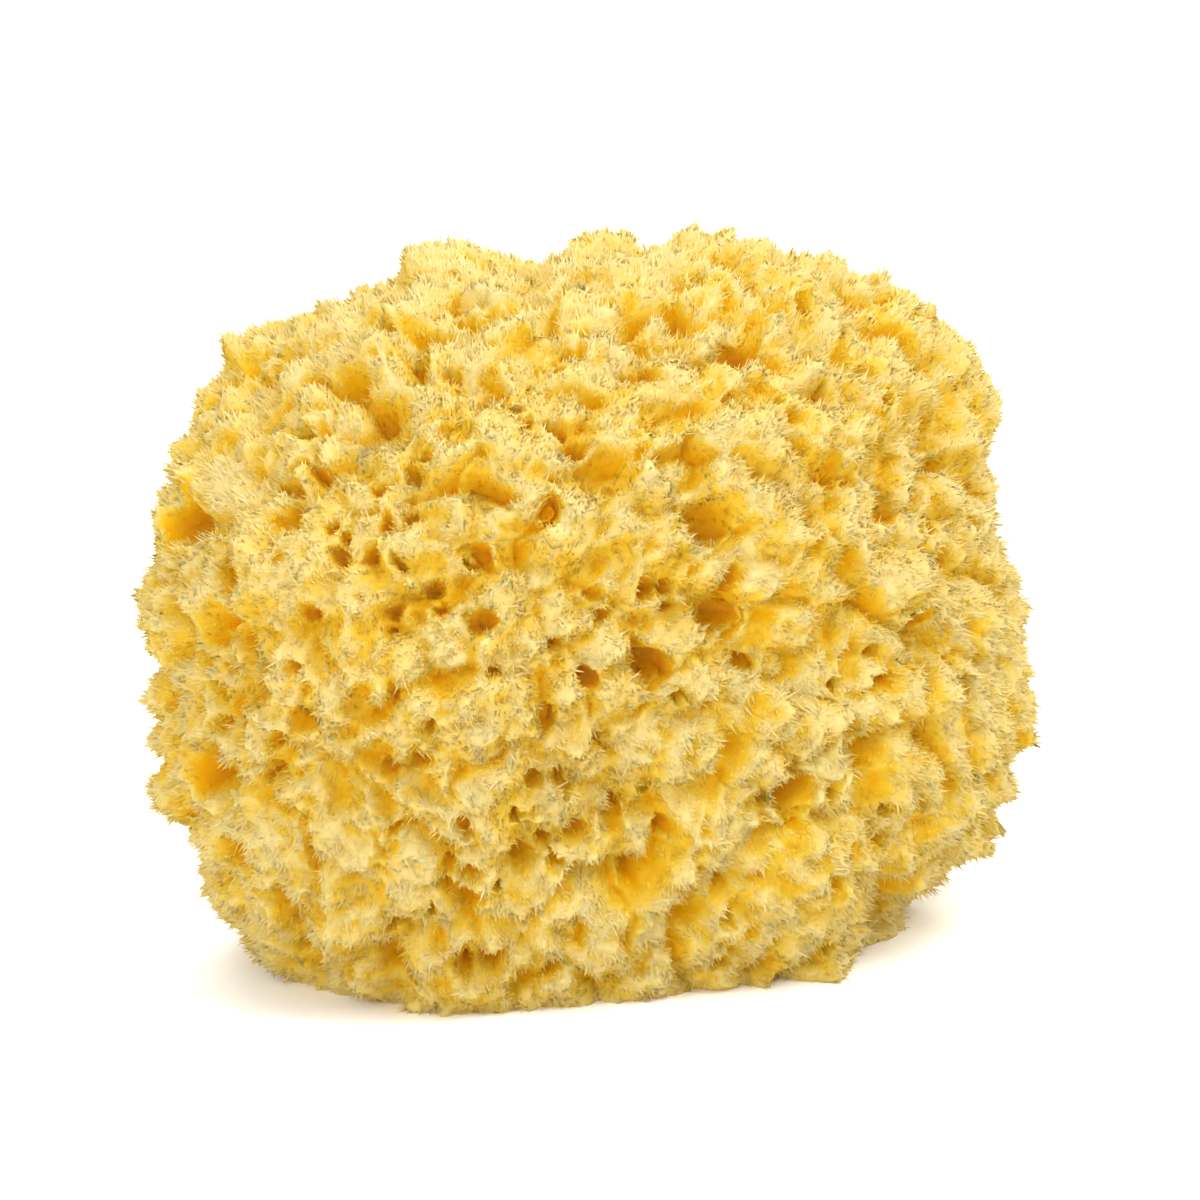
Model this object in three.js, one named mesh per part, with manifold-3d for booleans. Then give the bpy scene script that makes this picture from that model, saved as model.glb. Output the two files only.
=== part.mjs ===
// A natural bath sponge: one grown piece, a lumpy dome that was trimmed flat underneath.
//
// Millimetres, +Z up, -Y the side that is shown. The origin is the middle of the flat cut base.
// The solid reaches the tips of the frayed tufts that cover the sponge, and its larger pores,
// the oscules, are round pits that narrow inwards.

import * as THREE from "three";
import { ImprovedNoise } from "three/addons/math/ImprovedNoise.js";
import { mergeVertices } from "three/addons/utils/BufferGeometryUtils.js";
import Module from "manifold-3d";

// Driving dimensions.
const WIDTH = 132; // along X, over the widest part
const DEPTH = 90; // along Y
const HEIGHT = 98; // from the cut base to the crown
const WAIST = 44; // height of the widest part above the base

// The dome as it grew, before its underside was trimmed: its outline is squarer than an ellipse.
const PLAN_SQUARENESS = 2.4;
const SIDE_SQUARENESS = 2.35;
const ROOT_DEPTH = 62; // how far the untrimmed underside reaches below the waist
const FACE_SPLITS = 15; // cuts along each edge of the starting icosahedron

// Growth lumps: how far they stand out and how far apart they are.
const LUMPS = [
  { height: 8, spacing: 46, seed: 3.9 },
  { height: 4.5, spacing: 21, seed: 4.7 },
  { height: 2, spacing: 11, seed: 8.1 },
];

// Oscules: the compass angle round the waist (0 faces +X, -90 faces the shown side), the angle
// above the waist, the radius of the rim and the depth below the tips.
const OSCULES = [
  // the shown side
  { turn: -96, rise: 28, radius: 3.1, depth: 7 },
  { turn: -94, rise: 12, radius: 3.3, depth: 6 },
  { turn: -107, rise: 4, radius: 3.4, depth: 7.5 },
  { turn: -119, rise: 3, radius: 2.2, depth: 6 },
  { turn: -125, rise: 29, radius: 2.1, depth: 5.5 },
  { turn: -136, rise: 22, radius: 2.4, depth: 6 },
  { turn: -134, rise: 13, radius: 2.1, depth: 5.5 },
  { turn: -126, rise: -3, radius: 2.0, depth: 5.5 },
  { turn: -89, rise: 2, radius: 1.9, depth: 6 },
  { turn: -70, rise: 32, radius: 2.2, depth: 6 },
  { turn: -62, rise: 24, radius: 2.0, depth: 6 },
  { turn: -47, rise: 18, radius: 2.2, depth: 5.5 },
  { turn: -55, rise: 4, radius: 2.3, depth: 5.5 },
  { turn: -35, rise: 24, radius: 2.6, depth: 6 },
  { turn: -28, rise: 3, radius: 3.4, depth: 6.5 },
  { turn: -80, rise: -22, radius: 3.0, depth: 6.5 },
  { turn: -115, rise: -25, radius: 2.6, depth: 6 },
  { turn: -45, rise: -20, radius: 2.8, depth: 6.5 },
  // the right end and the back
  { turn: 4, rise: 12, radius: 3.2, depth: 6.5 },
  { turn: 16, rise: -16, radius: 2.6, depth: 6 },
  { turn: 35, rise: 20, radius: 3.0, depth: 6.5 },
  { turn: 58, rise: -6, radius: 3.4, depth: 7 },
  { turn: 84, rise: 18, radius: 2.8, depth: 6 },
  { turn: 107, rise: -12, radius: 3.3, depth: 6.5 },
  { turn: 131, rise: 14, radius: 2.5, depth: 6 },
  // the left end
  { turn: 158, rise: -11, radius: 3.0, depth: 6.5 },
  { turn: 177, rise: 19, radius: 3.5, depth: 7 },
  { turn: -157, rise: -2, radius: 2.6, depth: 6 },
  // the crown
  { turn: -140, rise: 48, radius: 3.1, depth: 6.5 },
  { turn: -74, rise: 56, radius: 3.6, depth: 7.5 },
  { turn: -18, rise: 47, radius: 2.9, depth: 6.5 },
  { turn: 48, rise: 54, radius: 3.4, depth: 7 },
  { turn: 124, rise: 50, radius: 3.0, depth: 6.5 },
  { turn: 10, rise: 80, radius: 3.8, depth: 8 },
];

// The shape of every oscule, as shares of its rim radius and its depth, from the bottom up.
const OSCULE_PROFILE = [
  { radius: 0, level: -1 },
  { radius: 0.46, level: -0.9 },
  { radius: 0.64, level: -0.6 },
  { radius: 0.95, level: -0.2 },
  { radius: 1.3, level: 0.12 },
  { radius: 1.3, level: 0.7 },
  { radius: 0, level: 0.7 },
];
const OSCULE_SIDES = 12;

const wasm = await Module();
wasm.setup();
const noise = new ImprovedNoise();

/** A closed geometry with its positions only, its shared vertices merged. */
function mergedPositions(geometry) {
  const bare = geometry.clone();
  bare.deleteAttribute("normal");
  bare.deleteAttribute("uv");
  return mergeVertices(bare, 1e-4);
}

/** A closed three.js geometry as a manifold-3d solid. */
function solidOf(geometry) {
  const merged = mergedPositions(geometry);
  return new wasm.Manifold(
    new wasm.Mesh({
      numProp: 3,
      vertProperties: new Float32Array(merged.attributes.position.array),
      triVerts: new Uint32Array(merged.index.array),
    }),
  );
}

/** A manifold-3d solid as a three.js geometry. */
function geometryOf(solid) {
  const mesh = solid.getMesh();
  const geometry = new THREE.BufferGeometry();
  geometry.setAttribute("position", new THREE.BufferAttribute(mesh.vertProperties, 3));
  geometry.setIndex(new THREE.BufferAttribute(mesh.triVerts, 1));
  return geometry;
}

/** The point of the smooth, untrimmed dome in one direction from the middle of its waist. */
function domePoint(direction) {
  const plan =
    Math.abs(direction.x) ** PLAN_SQUARENESS + Math.abs(direction.y) ** PLAN_SQUARENESS;
  const reach =
    plan ** (SIDE_SQUARENESS / PLAN_SQUARENESS) + Math.abs(direction.z) ** SIDE_SQUARENESS;
  const radius = reach ** (-1 / SIDE_SQUARENESS);
  const rise = direction.z > 0 ? HEIGHT - WAIST : ROOT_DEPTH;
  return new THREE.Vector3(
    (direction.x * radius * WIDTH) / 2,
    (direction.y * radius * DEPTH) / 2,
    direction.z * radius * rise,
  );
}

/** How far the growth lumps carry a point of the dome outwards. */
function lumpHeight(point) {
  let height = 0;
  for (const lump of LUMPS) {
    const at = point.clone().divideScalar(lump.spacing).addScalar(lump.seed);
    height += lump.height * noise.noise(at.x, at.y, at.z);
  }
  return height;
}

/** The dome with its lumps, trimmed flat at its base and brought to its driving dimensions. */
function trimmedDome() {
  const grown = mergedPositions(new THREE.IcosahedronGeometry(1, FACE_SPLITS));
  const position = grown.attributes.position;
  for (let i = 0; i < position.count; i++) {
    const direction = new THREE.Vector3().fromBufferAttribute(position, i).normalize();
    const point = domePoint(direction);
    point.addScaledVector(point.clone().normalize(), lumpHeight(point));
    position.setXYZ(i, point.x, point.y, point.z);
  }
  const rock = new THREE.BoxGeometry(2 * WIDTH, 2 * DEPTH, 2 * ROOT_DEPTH);
  rock.translate(0, 0, -WAIST - ROOT_DEPTH);
  const dome = geometryOf(solidOf(grown).subtract(solidOf(rock)));
  dome.computeBoundingBox();
  const { min, max } = dome.boundingBox;
  dome.translate(-(min.x + max.x) / 2, -(min.y + max.y) / 2, -min.z);
  dome.scale(WIDTH / (max.x - min.x), DEPTH / (max.y - min.y), HEIGHT / (max.z - min.z));
  return dome;
}

/** The plug that one oscule takes out, placed where its heading leaves the dome. */
function osculePlug(dome, { turn, rise, radius, depth }) {
  const angle = THREE.MathUtils.degToRad(turn);
  const lift = THREE.MathUtils.degToRad(rise);
  const heading = new THREE.Vector3(
    Math.cos(angle) * Math.cos(lift),
    Math.sin(angle) * Math.cos(lift),
    Math.sin(lift),
  );
  const ray = new THREE.Raycaster(new THREE.Vector3(0, 0, WAIST), heading);
  const { point, face } = ray.intersectObject(dome).at(-1);
  const outward = face.normal.clone().add(heading).normalize();
  const profile = OSCULE_PROFILE.map(
    (step) => new THREE.Vector2(step.radius * radius, step.level * depth),
  );
  const plug = new THREE.LatheGeometry(profile, OSCULE_SIDES);
  plug.applyQuaternion(
    new THREE.Quaternion().setFromUnitVectors(new THREE.Vector3(0, 1, 0), outward),
  );
  plug.translate(point.x, point.y, point.z);
  return plug;
}

/** The whole sponge: the trimmed dome with every oscule taken out of it. */
function spongeGeometry() {
  const dome = trimmedDome();
  const target = new THREE.Mesh(dome, new THREE.MeshBasicMaterial({ side: THREE.DoubleSide }));
  let solid = solidOf(dome);
  for (const oscule of OSCULES) {
    solid = solid.subtract(solidOf(osculePlug(target, oscule)));
  }
  return geometryOf(solid);
}

const spongin = new THREE.MeshStandardMaterial({
  name: "spongin",
  color: new THREE.Color(0.9, 0.72, 0.32),
  roughness: 0.95,
  metalness: 0,
});

const sponge = new THREE.Mesh(spongeGeometry(), spongin);
sponge.name = "sponge";

const part = new THREE.Group();
part.add(sponge);

export default part;
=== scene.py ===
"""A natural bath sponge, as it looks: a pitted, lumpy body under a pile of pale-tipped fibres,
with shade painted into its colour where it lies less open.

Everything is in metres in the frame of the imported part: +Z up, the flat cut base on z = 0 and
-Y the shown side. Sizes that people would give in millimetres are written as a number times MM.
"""

import logging
import math
from dataclasses import dataclass, field
from enum import Enum
from typing import Any, Union

import bpy
import numpy as np
from mathutils import Matrix, Vector, noise
from mathutils.bvhtree import BVHTree
from mathutils.kdtree import KDTree


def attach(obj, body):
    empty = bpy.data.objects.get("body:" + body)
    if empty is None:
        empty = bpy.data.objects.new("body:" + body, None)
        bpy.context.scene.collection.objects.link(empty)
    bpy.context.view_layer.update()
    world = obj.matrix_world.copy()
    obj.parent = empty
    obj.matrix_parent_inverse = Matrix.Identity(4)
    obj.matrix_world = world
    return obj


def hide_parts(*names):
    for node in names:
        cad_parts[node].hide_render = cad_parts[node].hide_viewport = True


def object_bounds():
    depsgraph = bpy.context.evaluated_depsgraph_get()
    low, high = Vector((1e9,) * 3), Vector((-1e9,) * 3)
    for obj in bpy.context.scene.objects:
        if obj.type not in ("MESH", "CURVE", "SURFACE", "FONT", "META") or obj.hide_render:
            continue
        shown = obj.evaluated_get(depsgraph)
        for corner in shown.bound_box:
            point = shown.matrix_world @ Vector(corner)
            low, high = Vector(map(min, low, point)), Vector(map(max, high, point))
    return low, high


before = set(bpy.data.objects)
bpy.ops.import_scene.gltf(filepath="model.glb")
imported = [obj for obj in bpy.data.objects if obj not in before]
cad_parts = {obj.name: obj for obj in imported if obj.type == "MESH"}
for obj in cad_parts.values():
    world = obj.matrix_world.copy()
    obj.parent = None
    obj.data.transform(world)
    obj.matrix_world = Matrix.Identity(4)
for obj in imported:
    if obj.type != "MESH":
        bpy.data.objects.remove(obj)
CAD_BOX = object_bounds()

MM = 0.001
BODY = "root"
NODE = "sponge"
PAINTED_SHADE_AND_TONE = "tip"  # the attribute that says how open each vertex lies, and so how much painted shade its colour takes, with tone that differs at random
BODY_SHARE = 0.82  # the body lies in the shade of its fibres, so it is this much deeper in colour
QUARTER_SQUEEZE = 0.68  # the plan's depth over its width, which makes the quarters alike in size
CUT_HEIGHT = 0.5 * MM  # the cut face's vertices lie below this height
CUT_FACING = -0.7  # and their normals' z part is less than this
RAY_SEED = 21  # settles the directions in which openness is measured
GOLDEN = 0.618034  # steps of this share spread numbered things evenly
LOG = logging.getLogger("sea_sponge")

Triple = tuple[float, float, float]
Span = tuple[float, float]
Colour = tuple[float, float, float, float]


def unit(vectors: np.ndarray) -> np.ndarray:
    """Vectors, one a row, brought to length one."""
    return vectors / np.maximum(np.linalg.norm(vectors, axis=1, keepdims=True), 1e-12)


def smooth_step(values: np.ndarray, low: float, high: float) -> np.ndarray:
    """A smooth rise from 0 at low to 1 at high."""
    t = np.clip((values - low) / (high - low), 0.0, 1.0)
    return t * t * (3.0 - 2.0 * t)


def ripple(places: np.ndarray, spacing: float, seed: float) -> np.ndarray:
    """Smooth noise, from about -1 to 1.

    Args:
        places: Points, one a row, in metres.
        spacing: How far apart the swells are, in metres.
        seed: Moves the pattern, so that two of them differ.

    Returns:
        One number for each point.
    """
    return np.array([noise.noise(p) for p in (places / spacing + seed).tolist()])


def ripples(places: np.ndarray, spacing: float, seeds: Triple) -> np.ndarray:
    """Smooth noise in three directions, one row for each point."""
    return np.stack([ripple(places, spacing, seed) for seed in seeds], axis=1)


def only(piece: bpy.types.Object) -> None:
    """Makes a piece the only selected object and the active one.

    Args:
        piece: The piece to select.
    """
    bpy.ops.object.select_all(action="DESELECT")
    piece.select_set(True)
    bpy.context.view_layer.objects.active = piece


def vertices_of(mesh: bpy.types.Mesh) -> np.ndarray:
    """Where a mesh's vertices are.

    Args:
        mesh: The mesh to read.

    Returns:
        One row for each vertex.
    """
    found = np.empty(len(mesh.vertices) * 3, np.float32)
    mesh.vertices.foreach_get("co", found)
    return found.reshape(-1, 3).astype(float)


def normals_of(mesh: bpy.types.Mesh) -> np.ndarray:
    """Which way a mesh faces at its vertices.

    Args:
        mesh: The mesh to read.

    Returns:
        One row for each vertex.
    """
    found = np.empty(len(mesh.vertices) * 3, np.float32)
    mesh.vertex_normals.foreach_get("vector", found)
    return found.reshape(-1, 3).astype(float)


def triangles_of(mesh: bpy.types.Mesh) -> np.ndarray:
    """The vertices at the corners of a mesh's triangles.

    Args:
        mesh: The mesh to read.

    Returns:
        One row for each triangle.
    """
    mesh.calc_loop_triangles()
    found = np.empty(len(mesh.loop_triangles) * 3, np.int32)
    mesh.loop_triangles.foreach_get("vertices", found)
    return found.reshape(-1, 3)


def write_shares(mesh: bpy.types.Mesh, values: np.ndarray) -> None:
    """Stores how open each vertex lies as the attribute from which the finishes paint shade into
    the colour.
    """
    layer = mesh.attributes.new(PAINTED_SHADE_AND_TONE, "FLOAT", "POINT")
    layer.data.foreach_set("value", values.astype(np.float32))


def openness_at(
    starts: np.ndarray, headings: np.ndarray, tree: BVHTree, reach: float, rays: int
) -> np.ndarray:
    """How freely places see out, from 0 deep in a pore to 1 on a bare tip.

    Args:
        starts: The places, one a row.
        headings: Which way is out at each of them.
        tree: The surfaces that stand in the way.
        reach: How far away a surface still counts.
        rays: How many directions are tried.

    Returns:
        One share for each place.
    """
    draw = np.random.default_rng(RAY_SEED)
    free = np.zeros(len(starts))
    origins = starts.tolist()
    for lean in unit(draw.normal(size=(rays, 3))):
        aims = unit(headings + lean).tolist()
        hits = [tree.ray_cast(*ray, reach)[3] for ray in zip(origins, aims)]
        free += [1.0 if hit is None else hit / reach for hit in hits]
    return free / rays


@dataclass(frozen=True)
class Pits:
    """One kind of pit in the body.

    Attributes:
        count: How many there are.
        radius: The least and the most radius.
        depth: The least and the most depth.
        seed: Settles where they lie.
        edge: Where a pit's wall starts, as a share of its radius.
        floor: Where its floor starts, as a share of its radius.
    """

    count: int
    radius: Span
    depth: Span
    seed: int
    edge: float = 1.25
    floor: float = 0.45

    def depths(self, places: np.ndarray, tree: KDTree) -> np.ndarray:
        """How deep these pits are at every vertex.

        Args:
            places: The vertices.
            tree: The same vertices, for finding neighbours.

        Returns:
            One depth for each vertex.
        """
        draw = np.random.default_rng(self.seed)
        dug = np.zeros(len(places))
        for site in draw.integers(0, len(places), self.count):
            radius = draw.uniform(*self.radius)
            deepest = draw.uniform(*self.depth)
            edge = self.edge * radius
            floor = self.floor * radius
            for _, index, distance in tree.find_range(places[site], edge):
                share = min(max((edge - distance) / (edge - floor), 0.0), 1.0)
                dug[index] = max(dug[index], deepest * share * share * (3.0 - 2.0 * share))
        return dug


@dataclass
class Skeleton:
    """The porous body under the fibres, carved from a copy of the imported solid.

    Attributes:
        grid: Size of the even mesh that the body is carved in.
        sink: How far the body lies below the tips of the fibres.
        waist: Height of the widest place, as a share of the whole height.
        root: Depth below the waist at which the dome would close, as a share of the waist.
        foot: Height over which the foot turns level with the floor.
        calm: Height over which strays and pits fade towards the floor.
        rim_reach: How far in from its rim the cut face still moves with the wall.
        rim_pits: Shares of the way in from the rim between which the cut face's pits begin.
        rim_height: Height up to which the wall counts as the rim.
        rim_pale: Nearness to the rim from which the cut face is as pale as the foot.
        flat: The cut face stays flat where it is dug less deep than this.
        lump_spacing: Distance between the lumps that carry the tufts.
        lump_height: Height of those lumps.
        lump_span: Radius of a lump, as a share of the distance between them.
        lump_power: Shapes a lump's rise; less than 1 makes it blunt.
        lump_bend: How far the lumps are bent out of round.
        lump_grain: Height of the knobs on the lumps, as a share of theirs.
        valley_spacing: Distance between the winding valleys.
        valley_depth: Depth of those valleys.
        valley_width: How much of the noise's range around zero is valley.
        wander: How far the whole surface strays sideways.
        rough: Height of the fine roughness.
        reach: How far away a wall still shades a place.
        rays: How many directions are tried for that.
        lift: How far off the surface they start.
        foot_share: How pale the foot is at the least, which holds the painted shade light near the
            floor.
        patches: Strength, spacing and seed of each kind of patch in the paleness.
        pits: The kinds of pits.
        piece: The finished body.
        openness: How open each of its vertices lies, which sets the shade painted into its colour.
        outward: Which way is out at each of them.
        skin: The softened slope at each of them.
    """

    grid: float = 0.79 * MM
    sink: float = 4.2 * MM
    waist: float = 0.45
    root: float = 1.4
    foot: float = 14 * MM
    calm: float = 6 * MM
    rim_reach: float = 8 * MM
    rim_pits: Span = (0.3, 0.6)
    rim_height: float = 1.5 * MM
    rim_pale: float = 0.6
    flat: float = 0.3 * MM
    lump_spacing: float = 6.0 * MM
    lump_height: float = 4.6 * MM
    lump_span: float = 0.8
    lump_power: float = 0.8
    lump_bend: float = 1.3 * MM
    lump_grain: float = 0.175
    valley_spacing: float = 15 * MM
    valley_depth: float = 2.2 * MM
    valley_width: float = 0.2
    wander: float = 1.2 * MM
    rough: float = 0.9 * MM
    reach: float = 8 * MM
    rays: int = 12
    lift: float = 0.15 * MM
    foot_share: float = 0.85
    patches: tuple[Triple, ...] = ((0.10, 4 * MM, 90.0), (0.06, 14 * MM, 95.0))
    pits: tuple[Pits, ...] = (
        Pits(count=230, radius=(2.4 * MM, 4.2 * MM), depth=(1.6 * MM, 3.2 * MM), seed=20),
        Pits(count=620, radius=(0.7 * MM, 1.5 * MM), depth=(3.0 * MM, 6.0 * MM), seed=23),
    )
    piece: bpy.types.Object = field(init=False)
    openness: np.ndarray = field(init=False)
    outward: np.ndarray = field(init=False)
    skin: np.ndarray = field(init=False)

    def build(self, node: bpy.types.Object) -> bpy.types.Object:
        """Carves the body.

        Args:
            node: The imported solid, which is only copied.

        Returns:
            The finished body.
        """
        self.piece = self.even_copy(node)
        mesh = self.piece.data
        places = vertices_of(mesh)
        cut = (places[:, 2] < CUT_HEIGHT) & (normals_of(mesh)[:, 2] < CUT_FACING)
        self.outward = self.headings(places)
        inset = self.rim_nearness(places, cut)
        moved = self.swollen(places, inset)
        self.outward[cut] = (0.0, 0.0, -1.0)
        dug = self.pitted(places)
        far_in = smooth_step(1.0 - inset, *self.rim_pits)
        dug *= np.where(cut, far_in, smooth_step(places[:, 2], CUT_HEIGHT, self.calm))
        moved -= self.outward * dug[:, None]
        moved[cut & (dug < self.flat), 2] = 0.0
        moved[:, 2] = np.maximum(moved[:, 2], 0.0)
        mesh.vertices.foreach_set("co", moved.ravel())
        mesh.update()
        normals = unit(normals_of(mesh))
        self.skin = self.softened(mesh, normals, 2)
        self.openness = self.shade(moved, normals, cut & (inset < self.rim_pale))
        # The body's colour takes painted shade from how open it lies, and it is deeper still under
        # the fibres.
        write_shares(mesh, self.openness * BODY_SHARE)
        mesh.shade_smooth()
        return self.piece

    def even_copy(self, node: bpy.types.Object) -> bpy.types.Object:
        """A copy of the solid with merged vertices, remeshed to even quads.

        Args:
            node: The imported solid.

        Returns:
            The copy, which carries none of the solid's own properties.
        """
        copy = node.copy()
        copy.data = node.data.copy()
        copy.name = "sponge_body"
        copy.data.name = "sponge_body"
        for key in list(copy.keys()):
            del copy[key]
        copy.parent = None
        bpy.context.scene.collection.objects.link(copy)
        only(copy)
        bpy.ops.object.mode_set(mode="EDIT")
        bpy.ops.mesh.select_all(action="SELECT")
        bpy.ops.mesh.remove_doubles(threshold=0.001 * MM)
        bpy.ops.object.mode_set(mode="OBJECT")
        remesh = copy.modifiers.new("even", "REMESH")
        remesh.mode = "VOXEL"
        remesh.voxel_size = self.grid
        bpy.ops.object.modifier_apply(modifier=remesh.name)
        return copy

    def headings(self, places: np.ndarray) -> np.ndarray:
        """Which way is out of the dome at each place, level with the floor at its foot.

        Args:
            places: The vertices.

        Returns:
            One direction for each vertex.
        """
        high = np.array(CAD_BOX[1])
        waist = self.waist * high[2]
        reach = np.stack([
            np.full(len(places), high[0]),
            np.full(len(places), high[1]),
            np.where(places[:, 2] > waist, high[2] - waist, self.root * waist),
        ], axis=1)
        out = (places - [0.0, 0.0, waist]) / reach**2
        out[:, 2] *= smooth_step(places[:, 2], 0.0, self.foot)
        return unit(out)

    def rim_nearness(self, places: np.ndarray, cut: np.ndarray) -> np.ndarray:
        """1 on the grown surface, falling to 0 inwards from the cut face's rim.

        Args:
            places: The vertices.
            cut: Which of them lie on the cut face.

        Returns:
            One share for each vertex.
        """
        rim = np.flatnonzero(~cut & (places[:, 2] < self.rim_height))
        tree = KDTree(len(rim))
        for index in rim:
            tree.insert(places[index], int(index))
        tree.balance()
        nearness = np.ones(len(places))
        for index in np.flatnonzero(cut):
            nearness[index] = math.exp(-tree.find(places[index])[2] / self.rim_reach)
        return nearness

    def swollen(self, places: np.ndarray, inset: np.ndarray) -> np.ndarray:
        """The vertices moved in and out and sideways into lumps, valleys and roughness.

        Args:
            places: The vertices.
            inset: How far each of them takes part.

        Returns:
            The moved vertices.
        """
        swell = self.lumps(places) - self.valleys(places) - self.sink
        swell += self.rough * ripple(places, 2.3 * MM, seed=13.0)
        moved = places + self.outward * (swell * inset)[:, None]
        stray = self.wander * ripples(places, 4.5 * MM, seeds=(61.0, 73.0, 87.0)) * inset[:, None]
        stray[:, 2] *= smooth_step(places[:, 2], 0.0, self.calm)
        return moved + stray

    def lumps(self, places: np.ndarray) -> np.ndarray:
        """Height of the lumps that carry the tufts, over every vertex.

        Args:
            places: The vertices.

        Returns:
            One height for each vertex.
        """
        bent = places + self.lump_bend * ripples(places, 4 * MM, seeds=(3.1, 17.7, 31.9))
        spots = (bent / self.lump_spacing + 5.0).tolist()
        middle = np.array([noise.voronoi(spot)[0][0] for spot in spots])
        round_tops = np.clip(1.0 - middle / self.lump_span, 0.0, 1.0) ** self.lump_power
        swell = 0.75 + 0.5 * ripple(places, 11 * MM, seed=41.0)
        knobs = self.lump_grain * ripple(places, 1.5 * MM, seed=7.0)
        return self.lump_height * (round_tops * swell + knobs)

    def valleys(self, places: np.ndarray) -> np.ndarray:
        """Depth of the winding valleys between the larger growths, over every vertex."""
        line = np.abs(ripple(places, self.valley_spacing, seed=50.0))
        return self.valley_depth * (1.0 - smooth_step(line, 0.0, self.valley_width))

    def pitted(self, places: np.ndarray) -> np.ndarray:
        """Depth of all the pits together, over every vertex.

        Args:
            places: The vertices.

        Returns:
            One depth for each vertex.
        """
        tree = KDTree(len(places))
        for index, place in enumerate(places):
            tree.insert(place, index)
        tree.balance()
        return sum(kind.depths(places, tree) for kind in self.pits)

    @staticmethod
    def softened(mesh: bpy.types.Mesh, vectors: np.ndarray, rounds: int) -> np.ndarray:
        """Directions averaged with their neighbours'.

        Args:
            mesh: Its edges say which vertices are neighbours.
            vectors: One direction for each vertex.
            rounds: How many times they are averaged.

        Returns:
            The softened directions.
        """
        ends = np.empty(len(mesh.edges) * 2, np.int32)
        mesh.edges.foreach_get("vertices", ends)
        one, other = ends.reshape(-1, 2).T
        for _ in range(rounds):
            total = vectors.copy()
            np.add.at(total, one, vectors[other])
            np.add.at(total, other, vectors[one])
            vectors = unit(total)
        return vectors

    def shade(self, places: np.ndarray, normals: np.ndarray, under: np.ndarray) -> np.ndarray:
        """How open each vertex lies, which sets the shade painted into its colour, varied in
        patches and held pale at the foot.

        Args:
            places: The vertices.
            normals: Their normals.
            under: Which of them lie well inside the cut face.

        Returns:
            One share for each vertex.
        """
        tree = BVHTree.FromPolygons(places.tolist(), triangles_of(self.piece.data).tolist())
        starts = places + self.lift * normals
        free = openness_at(starts, self.outward, tree, self.reach, self.rays)
        # Near the floor the painted shade is held pale, except well inside the cut face.
        foot = self.foot_share * (1.0 - smooth_step(places[:, 2], 1.0 * MM, self.calm))
        free = np.where(under, free, np.maximum(free, foot))
        for strength, spacing, seed in self.patches:
            free = free + strength * ripple(places, spacing, seed)
        return free


class Quarter(Enum):
    """The parts of the sponge whose fibres are joined in one mesh, counted round from the left."""

    LEFT = 0
    FRONT = 1
    RIGHT = 2
    BACK = 3

    @staticmethod
    def of(roots: np.ndarray) -> np.ndarray:
        """The number of the quarter in which each fibre stands."""
        turn = np.arctan2(roots[:, 1], roots[:, 0] * QUARTER_SQUEEZE)
        return np.floor((turn + math.pi * 1.25) / (math.pi / 2)).astype(int) % len(Quarter)


@dataclass(frozen=True)
class Growth:
    """How one kind of fibre stands on the body; sizes are the least and the most.

    Attributes:
        count: How many there are.
        tall: Height above the body.
        wide: Width at the root, along the slope.
        thick: Width at the root, across the slope.
        stray: How far its direction strays from its neighbours'.
    """

    count: int
    tall: Span
    wide: Span
    thick: Span
    stray: float


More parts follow.
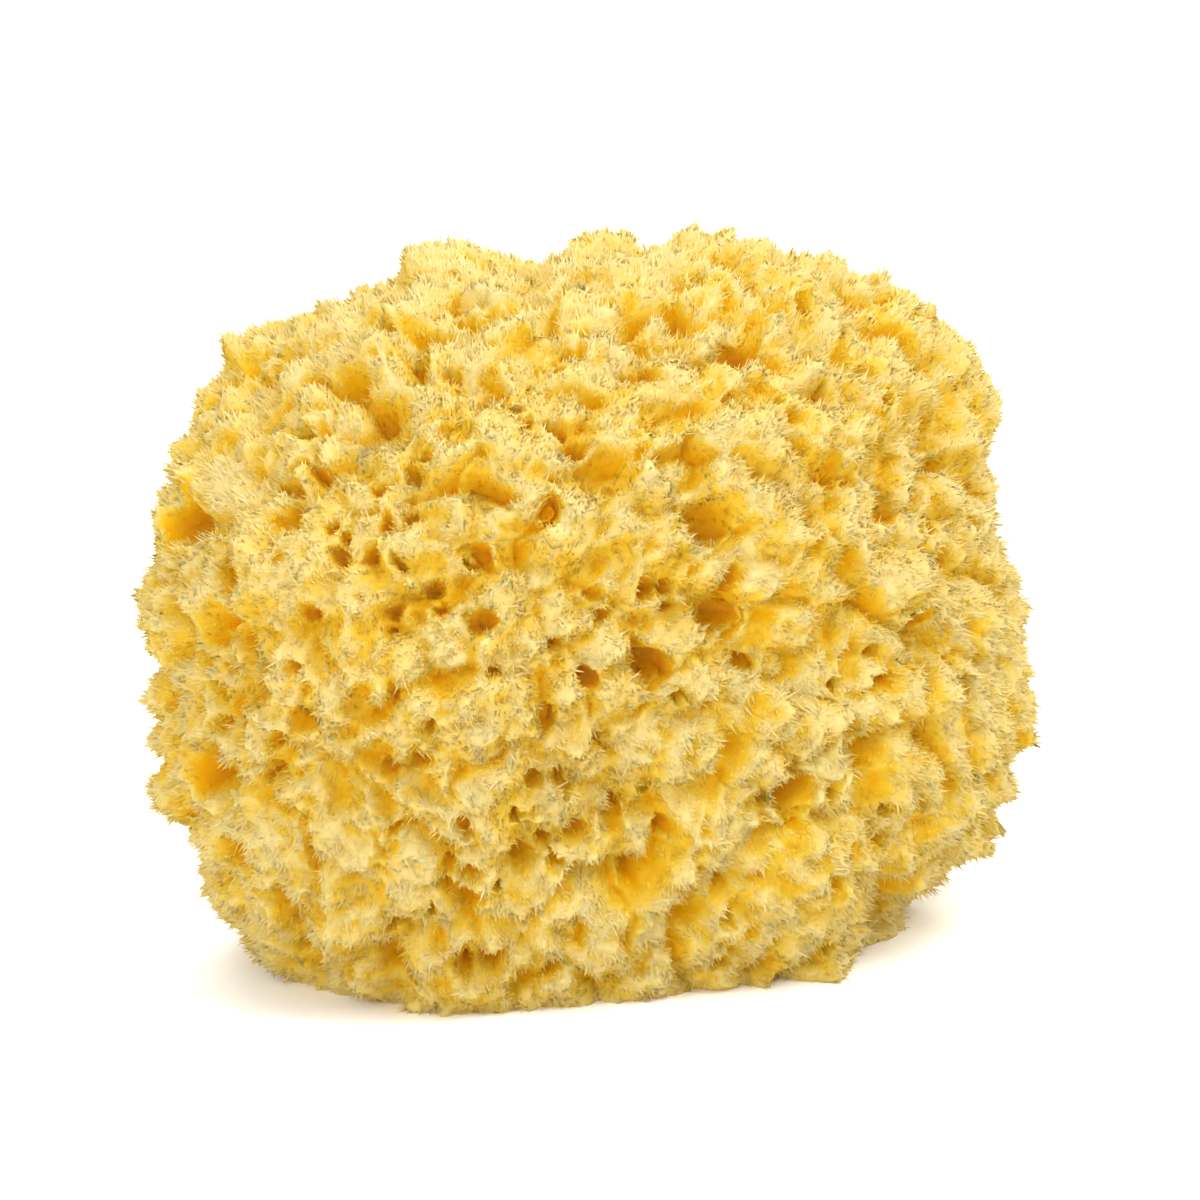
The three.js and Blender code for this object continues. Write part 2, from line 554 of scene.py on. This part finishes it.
@dataclass(frozen=True)
class Pile:
    """The short tapered fibres that cover the body, as a few joined meshes.

    Attributes:
        growths: The kinds of fibre.
        bare: Openness up to which nothing grows, and from which the fibres stand thickest.
        underside: How far the way out points down where growth thins, and where it stops.
        low: Height over which they stand a little thinner at the foot.
        thinning: How much thinner.
        sunk: How deep the roots reach into the body.
        clearance: Height above the floor that every fibre keeps.
        slope_pull: How strongly fibres stand square to the slope under them.
        short_share: Height left to a fibre where nothing is open.
        lock_spacing: Distance over which fibres lean the same way, as locks.
        lock_lean: How strongly they do.
        lock_swell: How much longer they are in the middle of a lock.
        twist: How far a fibre's flat side turns from the slope.
        curl: The mean and the spread of its bend, as shares of its height.
        ragged: How uneven its corners are.
        ragged_axes: The share of that along the slope, across it and upwards.
        root_share: How pale a fibre is at its root, beside its tip; the deeper root colour is
            painted shade between the fibres.
        tip_share: How much that rises to the tip.
        mottle: How much the fibres differ in colour.
        softness: How far a fibre is shaded like the slope that it stands on.
        seed: Settles where the fibres stand.
    """

    growths: tuple[Growth, ...] = (
        Growth(
            count=99500,
            tall=(0.9 * MM, 1.9 * MM),
            wide=(0.28 * MM, 0.5 * MM),
            thick=(0.28 * MM, 0.45 * MM),
            stray=0.3,
        ),
        Growth(
            count=78000,
            tall=(0.6 * MM, 1.2 * MM),
            wide=(0.55 * MM, 1.0 * MM),
            thick=(0.4 * MM, 0.7 * MM),
            stray=0.4,
        ),
    )
    bare: Span = (0.35, 0.8)
    underside: Span = (0.8, 0.9)
    low: float = 2.5 * MM
    thinning: float = 0.2
    sunk: float = 0.25 * MM
    clearance: float = 0.15 * MM
    slope_pull: float = 0.9
    short_share: float = 0.35
    lock_spacing: float = 1.7 * MM
    lock_lean: float = 1.2
    lock_swell: float = 0.8
    twist: float = 0.12
    curl: Span = (-0.1, 0.25)
    ragged: float = 0.05
    ragged_axes: Triple = (1.0, 0.6, 1.0)
    root_share: float = 0.8
    tip_share: float = 0.2
    mottle: float = 0.04
    softness: float = 0.75
    seed: int = 7

    def build(self, body: Skeleton) -> list[bpy.types.Object]:
        """Grows the fibres.

        Args:
            body: The finished body that the fibres stand on.

        Returns:
            One joined mesh for each quarter of the sponge.
        """
        model = self.fibre()
        shape = vertices_of(model.data)
        faces = triangles_of(model.data)
        bpy.data.objects.remove(model)
        draw = np.random.default_rng(self.seed)
        sown = [self.grown(shape, growth, body, draw) for growth in self.growths]
        places, shares, slopes = (np.concatenate(kind) for kind in zip(*sown))
        quarter = Quarter.of(places[:, 0])
        pieces = []
        for name in Quarter:
            here = quarter == name.value
            title = f"tufts_{name.name.lower()}"
            pieces.append(self.joined(title, places[here], shares[here], slopes[here], faces))
        return pieces

    @staticmethod
    def fibre() -> bpy.types.Object:
        """One tapered three-sided fibre.

        Returns:
            The fibre, one unit high with its root at the origin.
        """
        bpy.ops.object.select_all(action="DESELECT")
        bpy.ops.mesh.primitive_cone_add(vertices=3, radius1=0.55, depth=1.0, location=(0, 0, 0.5))
        bpy.ops.object.transform_apply()
        return bpy.context.active_object

    def roots(
        self, count: int, body: Skeleton, draw: np.random.Generator
    ) -> tuple[np.ndarray, np.ndarray, np.ndarray, np.ndarray]:
        """Where the fibres of one kind stand: anywhere but deep in the pits and under the foot.

        Args:
            count: How many there are.
            body: The finished body.
            draw: The source of random numbers.

        Returns:
            Their roots, the slope and the way out there, and how open each place is.
        """
        places = vertices_of(body.piece.data)
        corners = triangles_of(body.piece.data)
        a, b, c = (places[corners[:, k]] for k in range(3))
        area = np.linalg.norm(np.cross(b - a, c - a), axis=1)
        free = body.openness[corners].mean(axis=1)
        under = smooth_step(-body.outward[corners[:, 0], 2], *self.underside)
        low = 1.0 - smooth_step(a[:, 2], CUT_HEIGHT, self.low)
        wanted = area * smooth_step(free, *self.bare)
        wanted = wanted * (1.0 - under * low) * (1.0 - self.thinning * low)
        chosen = draw.choice(len(area), count, p=wanted / wanted.sum())
        mix = draw.dirichlet((1.0, 1.0, 1.0), count)
        roots = a[chosen] * mix[:, :1] + b[chosen] * mix[:, 1:2] + c[chosen] * mix[:, 2:]
        corner = corners[chosen, 0]
        return roots, body.skin[corner], body.outward[corner], free[chosen]

    def grown(
        self, shape: np.ndarray, growth: Growth, body: Skeleton, draw: np.random.Generator
    ) -> tuple[np.ndarray, np.ndarray, np.ndarray]:
        """Copies the fibre all over the body, each with its own turn, size and bend.

        Args:
            shape: The fibre's vertices, one unit high.
            growth: How this kind stands.
            body: The finished body.
            draw: The source of random numbers.

        Returns:
            The copies' vertices, how pale each vertex is, and the slope under each copy.
        """
        count = growth.count
        roots, slope, outward, free = self.roots(count, body, draw)
        up = self.slope_pull * slope + outward + growth.stray * draw.normal(size=(count, 3))
        locks = ripples(roots, self.lock_spacing, seeds=(11.0, 23.0, 37.0))
        up = unit(up + self.lock_lean * locks)
        flank = slope - outward * np.sum(slope * outward, axis=1)[:, None]
        side = flank + self.twist * draw.normal(size=(count, 3))
        side = unit(side - up * np.sum(side * up, axis=1)[:, None])
        across = np.cross(side, up)
        tall = draw.uniform(*growth.tall, count)
        tall = tall * (self.short_share + (1.0 - self.short_share) * free)
        tall *= 1.0 + self.lock_swell * ripple(roots, self.lock_spacing, seed=77.0)
        wide = draw.uniform(*growth.wide, count)
        thick = draw.uniform(*growth.thick, count)
        curl = draw.normal(*self.curl, count) * tall
        uneven = draw.normal(0.0, self.ragged, (count, *shape.shape)) * self.ragged_axes
        ragged = shape[None] + uneven
        level = ragged[:, :, 2]
        made = (roots - up * self.sunk)[:, None]
        made = made + across[:, None] * (ragged[:, :, 0] * wide[:, None])[..., None]
        made = made + up[:, None] * (level * tall[:, None])[..., None]
        bent = ragged[:, :, 1] * thick[:, None] + level**2 * curl[:, None]
        made = made + side[:, None] * bent[..., None]
        made[:, :, 2] = np.maximum(made[:, :, 2], self.clearance)
        # Painted shade: fibres are deeper in colour where their roots lie less open, and towards
        # their roots.
        shares = free[:, None] * (self.root_share + self.tip_share * np.clip(level, 0, 1))
        shares = shares + draw.normal(0, self.mottle, (count, 1))
        return made, shares, slope

    def joined(
        self,
        title: str,
        places: np.ndarray,
        shares: np.ndarray,
        slopes: np.ndarray,
        faces: np.ndarray,
    ) -> bpy.types.Object:
        """One mesh of many fibres, softly shaded like the slope that they stand on.

        Args:
            title: The piece's name.
            places: The vertices of each fibre.
            shares: How pale each of those is.
            slopes: The normal of the body under each fibre.
            faces: The triangles of one fibre.

        Returns:
            The joined piece.
        """
        count, size = places.shape[:2]
        corners = (faces[None] + size * np.arange(count)[:, None, None]).reshape(-1, 3)
        mesh = bpy.data.meshes.new(title)
        mesh.vertices.add(count * size)
        mesh.vertices.foreach_set("co", places.ravel())
        mesh.loops.add(corners.size)
        mesh.loops.foreach_set("vertex_index", corners.ravel())
        mesh.polygons.add(len(corners))
        mesh.polygons.foreach_set("loop_start", 3 * np.arange(len(corners)))
        mesh.update(calc_edges=True)
        write_shares(mesh, shares.ravel())
        self.unrolled(mesh, shares, corners)
        mesh.shade_smooth()
        own = unit(normals_of(mesh))
        soft = (1.0 - self.softness) * own + self.softness * np.repeat(slopes, size, axis=0)
        mesh.normals_split_custom_set_from_vertices(unit(soft).tolist())
        piece = bpy.data.objects.new(title, mesh)
        bpy.context.scene.collection.objects.link(piece)
        return piece

    @staticmethod
    def unrolled(mesh: bpy.types.Mesh, shares: np.ndarray, corners: np.ndarray) -> None:
        """Lays the fibres on a map by their colour, so that equal colours share one place on it.

        Args:
            mesh: The joined fibres.
            shares: How pale each vertex of each fibre is.
            corners: The joined mesh's triangles.
        """
        count, size = shares.shape
        rows = (np.arange(count) * GOLDEN % 1.0)[:, None] * 0.8 + 0.05 * np.arange(size)
        spots = np.stack([np.clip(0.9 * shares, 0.01, 0.99).ravel(), rows.ravel()], axis=1)
        layer = mesh.uv_layers.new(name="OFBake")
        layer.data.foreach_set("uv", spots[corners.ravel()].astype(np.float32).ravel())


Linked = Union["Wire", float]


class Operation(Enum):
    """What a Math node does."""

    ADD = "ADD"
    SUBTRACT = "SUBTRACT"
    MULTIPLY = "MULTIPLY"


@dataclass(frozen=True)
class Wire:
    """A node's output that takes part in sums."""

    graph: "Graph"
    socket: bpy.types.NodeSocket

    def __add__(self, other: Linked) -> "Wire":
        """The sum."""
        return self.graph.sum(Operation.ADD, self, other)

    __radd__ = __add__

    def __mul__(self, other: Linked) -> "Wire":
        """The product."""
        return self.graph.sum(Operation.MULTIPLY, self, other)

    __rmul__ = __mul__

    def __sub__(self, other: Linked) -> "Wire":
        """The difference."""
        return self.graph.sum(Operation.SUBTRACT, self, other)

    def __rsub__(self, other: Linked) -> "Wire":
        """The difference, turned round."""
        return self.graph.sum(Operation.SUBTRACT, other, self)


@dataclass(frozen=True)
class Graph:
    """The nodes of one material."""

    tree: bpy.types.NodeTree

    def node(self, kind: str, settings: dict[str, Any], inputs: dict[Any, Any]) -> bpy.types.Node:
        """Adds a node.

        Args:
            kind: The node's type.
            settings: Its settings, set before its sockets.
            inputs: A value, a socket or a Wire for each named or numbered socket.

        Returns:
            The new node.
        """
        made = self.tree.nodes.new(kind)
        for name, value in settings.items():
            if name == "stops":
                self.stops(made.color_ramp, value)
            else:
                setattr(made, name, value)
        for name, value in inputs.items():
            if isinstance(value, Wire):
                self.tree.links.new(value.socket, made.inputs[name])
            elif isinstance(value, bpy.types.NodeSocket):
                self.tree.links.new(value, made.inputs[name])
            else:
                made.inputs[name].default_value = value
        return made

    @staticmethod
    def stops(ramp: bpy.types.ColorRamp, stops: list[tuple[float, Colour]]) -> None:
        """Fills a ramp with its stops.

        Args:
            ramp: A new ramp.
            stops: The place and the colour of each stop, in order.
        """
        while len(ramp.elements) < len(stops):
            ramp.elements.new(0.5)
        for element, (place, colour) in zip(ramp.elements, stops):
            element.position = place
            element.color = colour

    def wire(
        self, kind: str, output: str, settings: dict[str, Any], inputs: dict[Any, Any]
    ) -> Wire:
        """Adds a node, as node() does, and returns the named output of it."""
        return Wire(self, self.node(kind, settings, inputs).outputs[output])

    def noise(self, places: bpy.types.NodeSocket, scale: float, detail: float) -> Wire:
        """Smooth noise over the object, from 0 to 1."""
        inputs = {"Vector": places, "Scale": scale, "Detail": detail}
        return self.wire("ShaderNodeTexNoise", "Fac", {}, inputs)

    def sum(self, operation: Operation, one: Linked, other: Linked) -> Wire:
        """A Math node on two values."""
        settings = {"operation": operation.value}
        return self.wire("ShaderNodeMath", "Value", settings, {0: one, 1: other})


def linear(red: int, green: int, blue: int) -> Colour:
    """A display colour of 0 to 255 as the linear colour that shaders take."""
    shares = [value / 255 for value in (red, green, blue)]
    return (*(s / 12.92 if s <= 0.04045 else ((s + 0.055) / 1.055) ** 2.4 for s in shares), 1.0)


@dataclass(frozen=True)
class Spongin:
    """The sponge's fibre, pale at its tips, with painted shade: golden in its hollows,
    orange-brown deep in its pores.

    Attributes:
        pore: Painted shade colour where nothing is open.
        hollow: Painted shade colour of the open hollows.
        flank: Colour of the sides of the tufts, with a little painted shade.
        tip: Colour of the bare tips, which take no painted shade.
        places: How open each of those four lies.
        glow: Colour of the light that comes through.
        through: How much of the light does.
        roughness: Roughness of a plain fibre.
        bump: Strength of the grain's relief; with none, there is no grain.
        grain_scale: How fine the grain is.
        grain_height: Height of that relief.
        grain_tint: How much the grain changes the colour.
        grain_gloss: How much it lowers the roughness.
    """

    pore: Colour = linear(230, 104, 14)
    hollow: Colour = linear(245, 184, 8)
    flank: Colour = linear(250, 218, 74)
    tip: Colour = linear(250, 242, 178)
    places: tuple[float, ...] = (0.12, 0.4, 0.62, 0.88)
    glow: Colour = linear(250, 224, 116)
    through: float = 0.6
    roughness: float = 0.9
    bump: float = 0.0
    grain_scale: float = 1400.0
    grain_height: float = 0.3 * MM
    grain_tint: float = 0.08
    grain_gloss: float = 0.2

    def material(self, name: str) -> bpy.types.Material:
        """The finish as a material.

        Args:
            name: What the material is called.

        Returns:
            The new material, which paints shade into its colour from the pieces' own attribute.
        """
        made = bpy.data.materials.new(name)
        made.use_nodes = True
        made.node_tree.nodes.clear()
        graph = Graph(made.node_tree)
        share = graph.wire("ShaderNodeAttribute", "Fac", {"attribute_name": PAINTED_SHADE_AND_TONE}, {})
        surface = {"Roughness": self.roughness, "Specular IOR Level": 0.0}
        if self.bump:
            places = graph.node("ShaderNodeTexCoord", {}, {}).outputs["Object"]
            grain = graph.noise(places, self.grain_scale, detail=2.0)
            relief = {"Strength": self.bump, "Distance": self.grain_height, "Height": grain}
            share = share + self.grain_tint * (grain - 0.5)
            surface["Roughness"] = 1.0 - self.grain_gloss * grain
            surface["Normal"] = graph.node("ShaderNodeBump", {}, relief).outputs["Normal"]
        # The ramp paints shade: the less open a place lies, the deeper its colour.
        stops = list(zip(self.places, (self.pore, self.hollow, self.flank, self.tip)))
        ramp = graph.node("ShaderNodeValToRGB", {"stops": stops}, {"Fac": share})
        surface["Base Color"] = ramp.outputs["Color"]
        shader = graph.node("ShaderNodeBsdfPrincipled", {}, surface)
        through = graph.node("ShaderNodeBsdfTranslucent", {}, {"Color": self.glow})
        layers = {0: self.through, 1: shader.outputs[0], 2: through.outputs[0]}
        mixed = graph.node("ShaderNodeMixShader", {}, layers)
        graph.node("ShaderNodeOutputMaterial", {}, {"Surface": mixed.outputs[0]})
        return made


@dataclass(frozen=True)
class Lamp:
    """A square soft light that faces the sponge.

    Attributes:
        name: What it is called.
        place: Where it stands.
        size: Length of its sides.
        power: Its power in watts.
    """

    name: str
    place: Triple
    size: float
    power: float

    def build(self, aim: Triple) -> None:
        """Sets up the light.

        Args:
            aim: The place that it faces.
        """
        data = bpy.data.lights.new(self.name, "AREA")
        data.size = self.size
        data.energy = self.power
        lamp = bpy.data.objects.new(self.name, data)
        bpy.context.scene.collection.objects.link(lamp)
        lamp.location = self.place
        away = Vector(self.place) - Vector(aim)
        lamp.rotation_euler = away.to_track_quat("Z", "Y").to_euler()


@dataclass(frozen=True)
class Studio:
    """The plain floor, the soft lights and the camera.

    Attributes:
        azimuth: How far the camera stands round to the side, in degrees.
        elevation: How far it looks down, in degrees.
        roll: How far it is tipped, in degrees.
        distance: How far away it stands.
        lens: Its focal length in millimetres.
        aim: The place that it looks at.
        lamps: The lights.
        lamp_aim: The place that they face.
        floor_size: Length of the floor's sides.
        white: Strength of the white all round.
    """

    azimuth: float = -27.7
    elevation: float = 14.2
    roll: float = -1.07
    distance: float = 0.862
    lens: float = 195.0
    aim: Triple = (0.0, 0.0, 0.046)
    lamps: tuple[Lamp, ...] = (
        Lamp("key", (0.35, -0.55, 0.75), size=0.6, power=7.8),
        Lamp("fill", (-0.8, -0.6, 0.3), size=0.9, power=8.0),
        Lamp("top", (0.0, 0.15, 1.0), size=0.9, power=6.0),
        Lamp("back", (0.45, 0.85, 0.5), size=0.9, power=5.0),
    )
    lamp_aim: Triple = (0.0, 0.0, 0.05)
    floor_size: float = 14.0
    white: float = 1.08

    def build(self) -> None:
        """Sets up the whole studio."""
        self.floor()
        self.camera()
        for lamp in self.lamps:
            lamp.build(self.lamp_aim)
        world = bpy.data.worlds.new("white_room")
        world.use_nodes = True
        world.node_tree.nodes["Background"].inputs["Color"].default_value = (1.0, 1.0, 1.0, 1.0)
        world.node_tree.nodes["Background"].inputs["Strength"].default_value = self.white
        bpy.context.scene.world = world
        bpy.context.scene.view_settings.view_transform = "Standard"

    def floor(self) -> None:
        """A wide pale floor under the sponge."""
        bpy.ops.object.select_all(action="DESELECT")
        bpy.ops.mesh.primitive_plane_add(size=self.floor_size, location=(0.0, 0.0, 0.0))
        floor = bpy.context.active_object
        floor.name = "floor"
        paint = bpy.data.materials.new("floor_paint")
        paint.use_nodes = True
        shader = paint.node_tree.nodes["Principled BSDF"]
        shader.inputs["Base Color"].default_value = linear(246, 246, 243)
        shader.inputs["Roughness"].default_value = 0.9
        floor.data.materials.append(paint)

    def camera(self) -> None:
        """The camera, at the side and height from which the sponge is shown."""
        turn, rise = math.radians(self.azimuth), math.radians(self.elevation)
        away = Vector(
            (math.sin(turn) * math.cos(rise), -math.cos(turn) * math.cos(rise), math.sin(rise))
        )
        data = bpy.data.cameras.new("camera")
        data.lens = self.lens
        data.clip_start = 0.05
        camera = bpy.data.objects.new("camera", data)
        bpy.context.scene.collection.objects.link(camera)
        camera.location = Vector(self.aim) + away * self.distance
        look = (-away).to_track_quat("-Z", "Y")
        turned = look.to_matrix() @ Matrix.Rotation(math.radians(self.roll), 3, "Z")
        camera.rotation_euler = turned.to_euler()
        bpy.context.scene.camera = camera


def main() -> None:
    """Builds the studio and the sponge, and reports each piece."""
    logging.basicConfig(level=logging.INFO, format="%(message)s")
    Studio().build()
    body = Skeleton()
    flesh = Spongin(bump=0.35).material("spongin_body")
    pile = Spongin().material("spongin_fibre")
    finishes = {body.build(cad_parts[NODE]): flesh}
    finishes.update(dict.fromkeys(Pile().build(body), pile))
    for piece, finish in finishes.items():
        piece.data.materials.clear()
        piece.data.materials.append(finish)
        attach(piece, BODY)
        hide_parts(NODE)
        LOG.info("%s: %d triangles", piece.name, len(triangles_of(piece.data)))


if __name__ == "__main__":
    main()
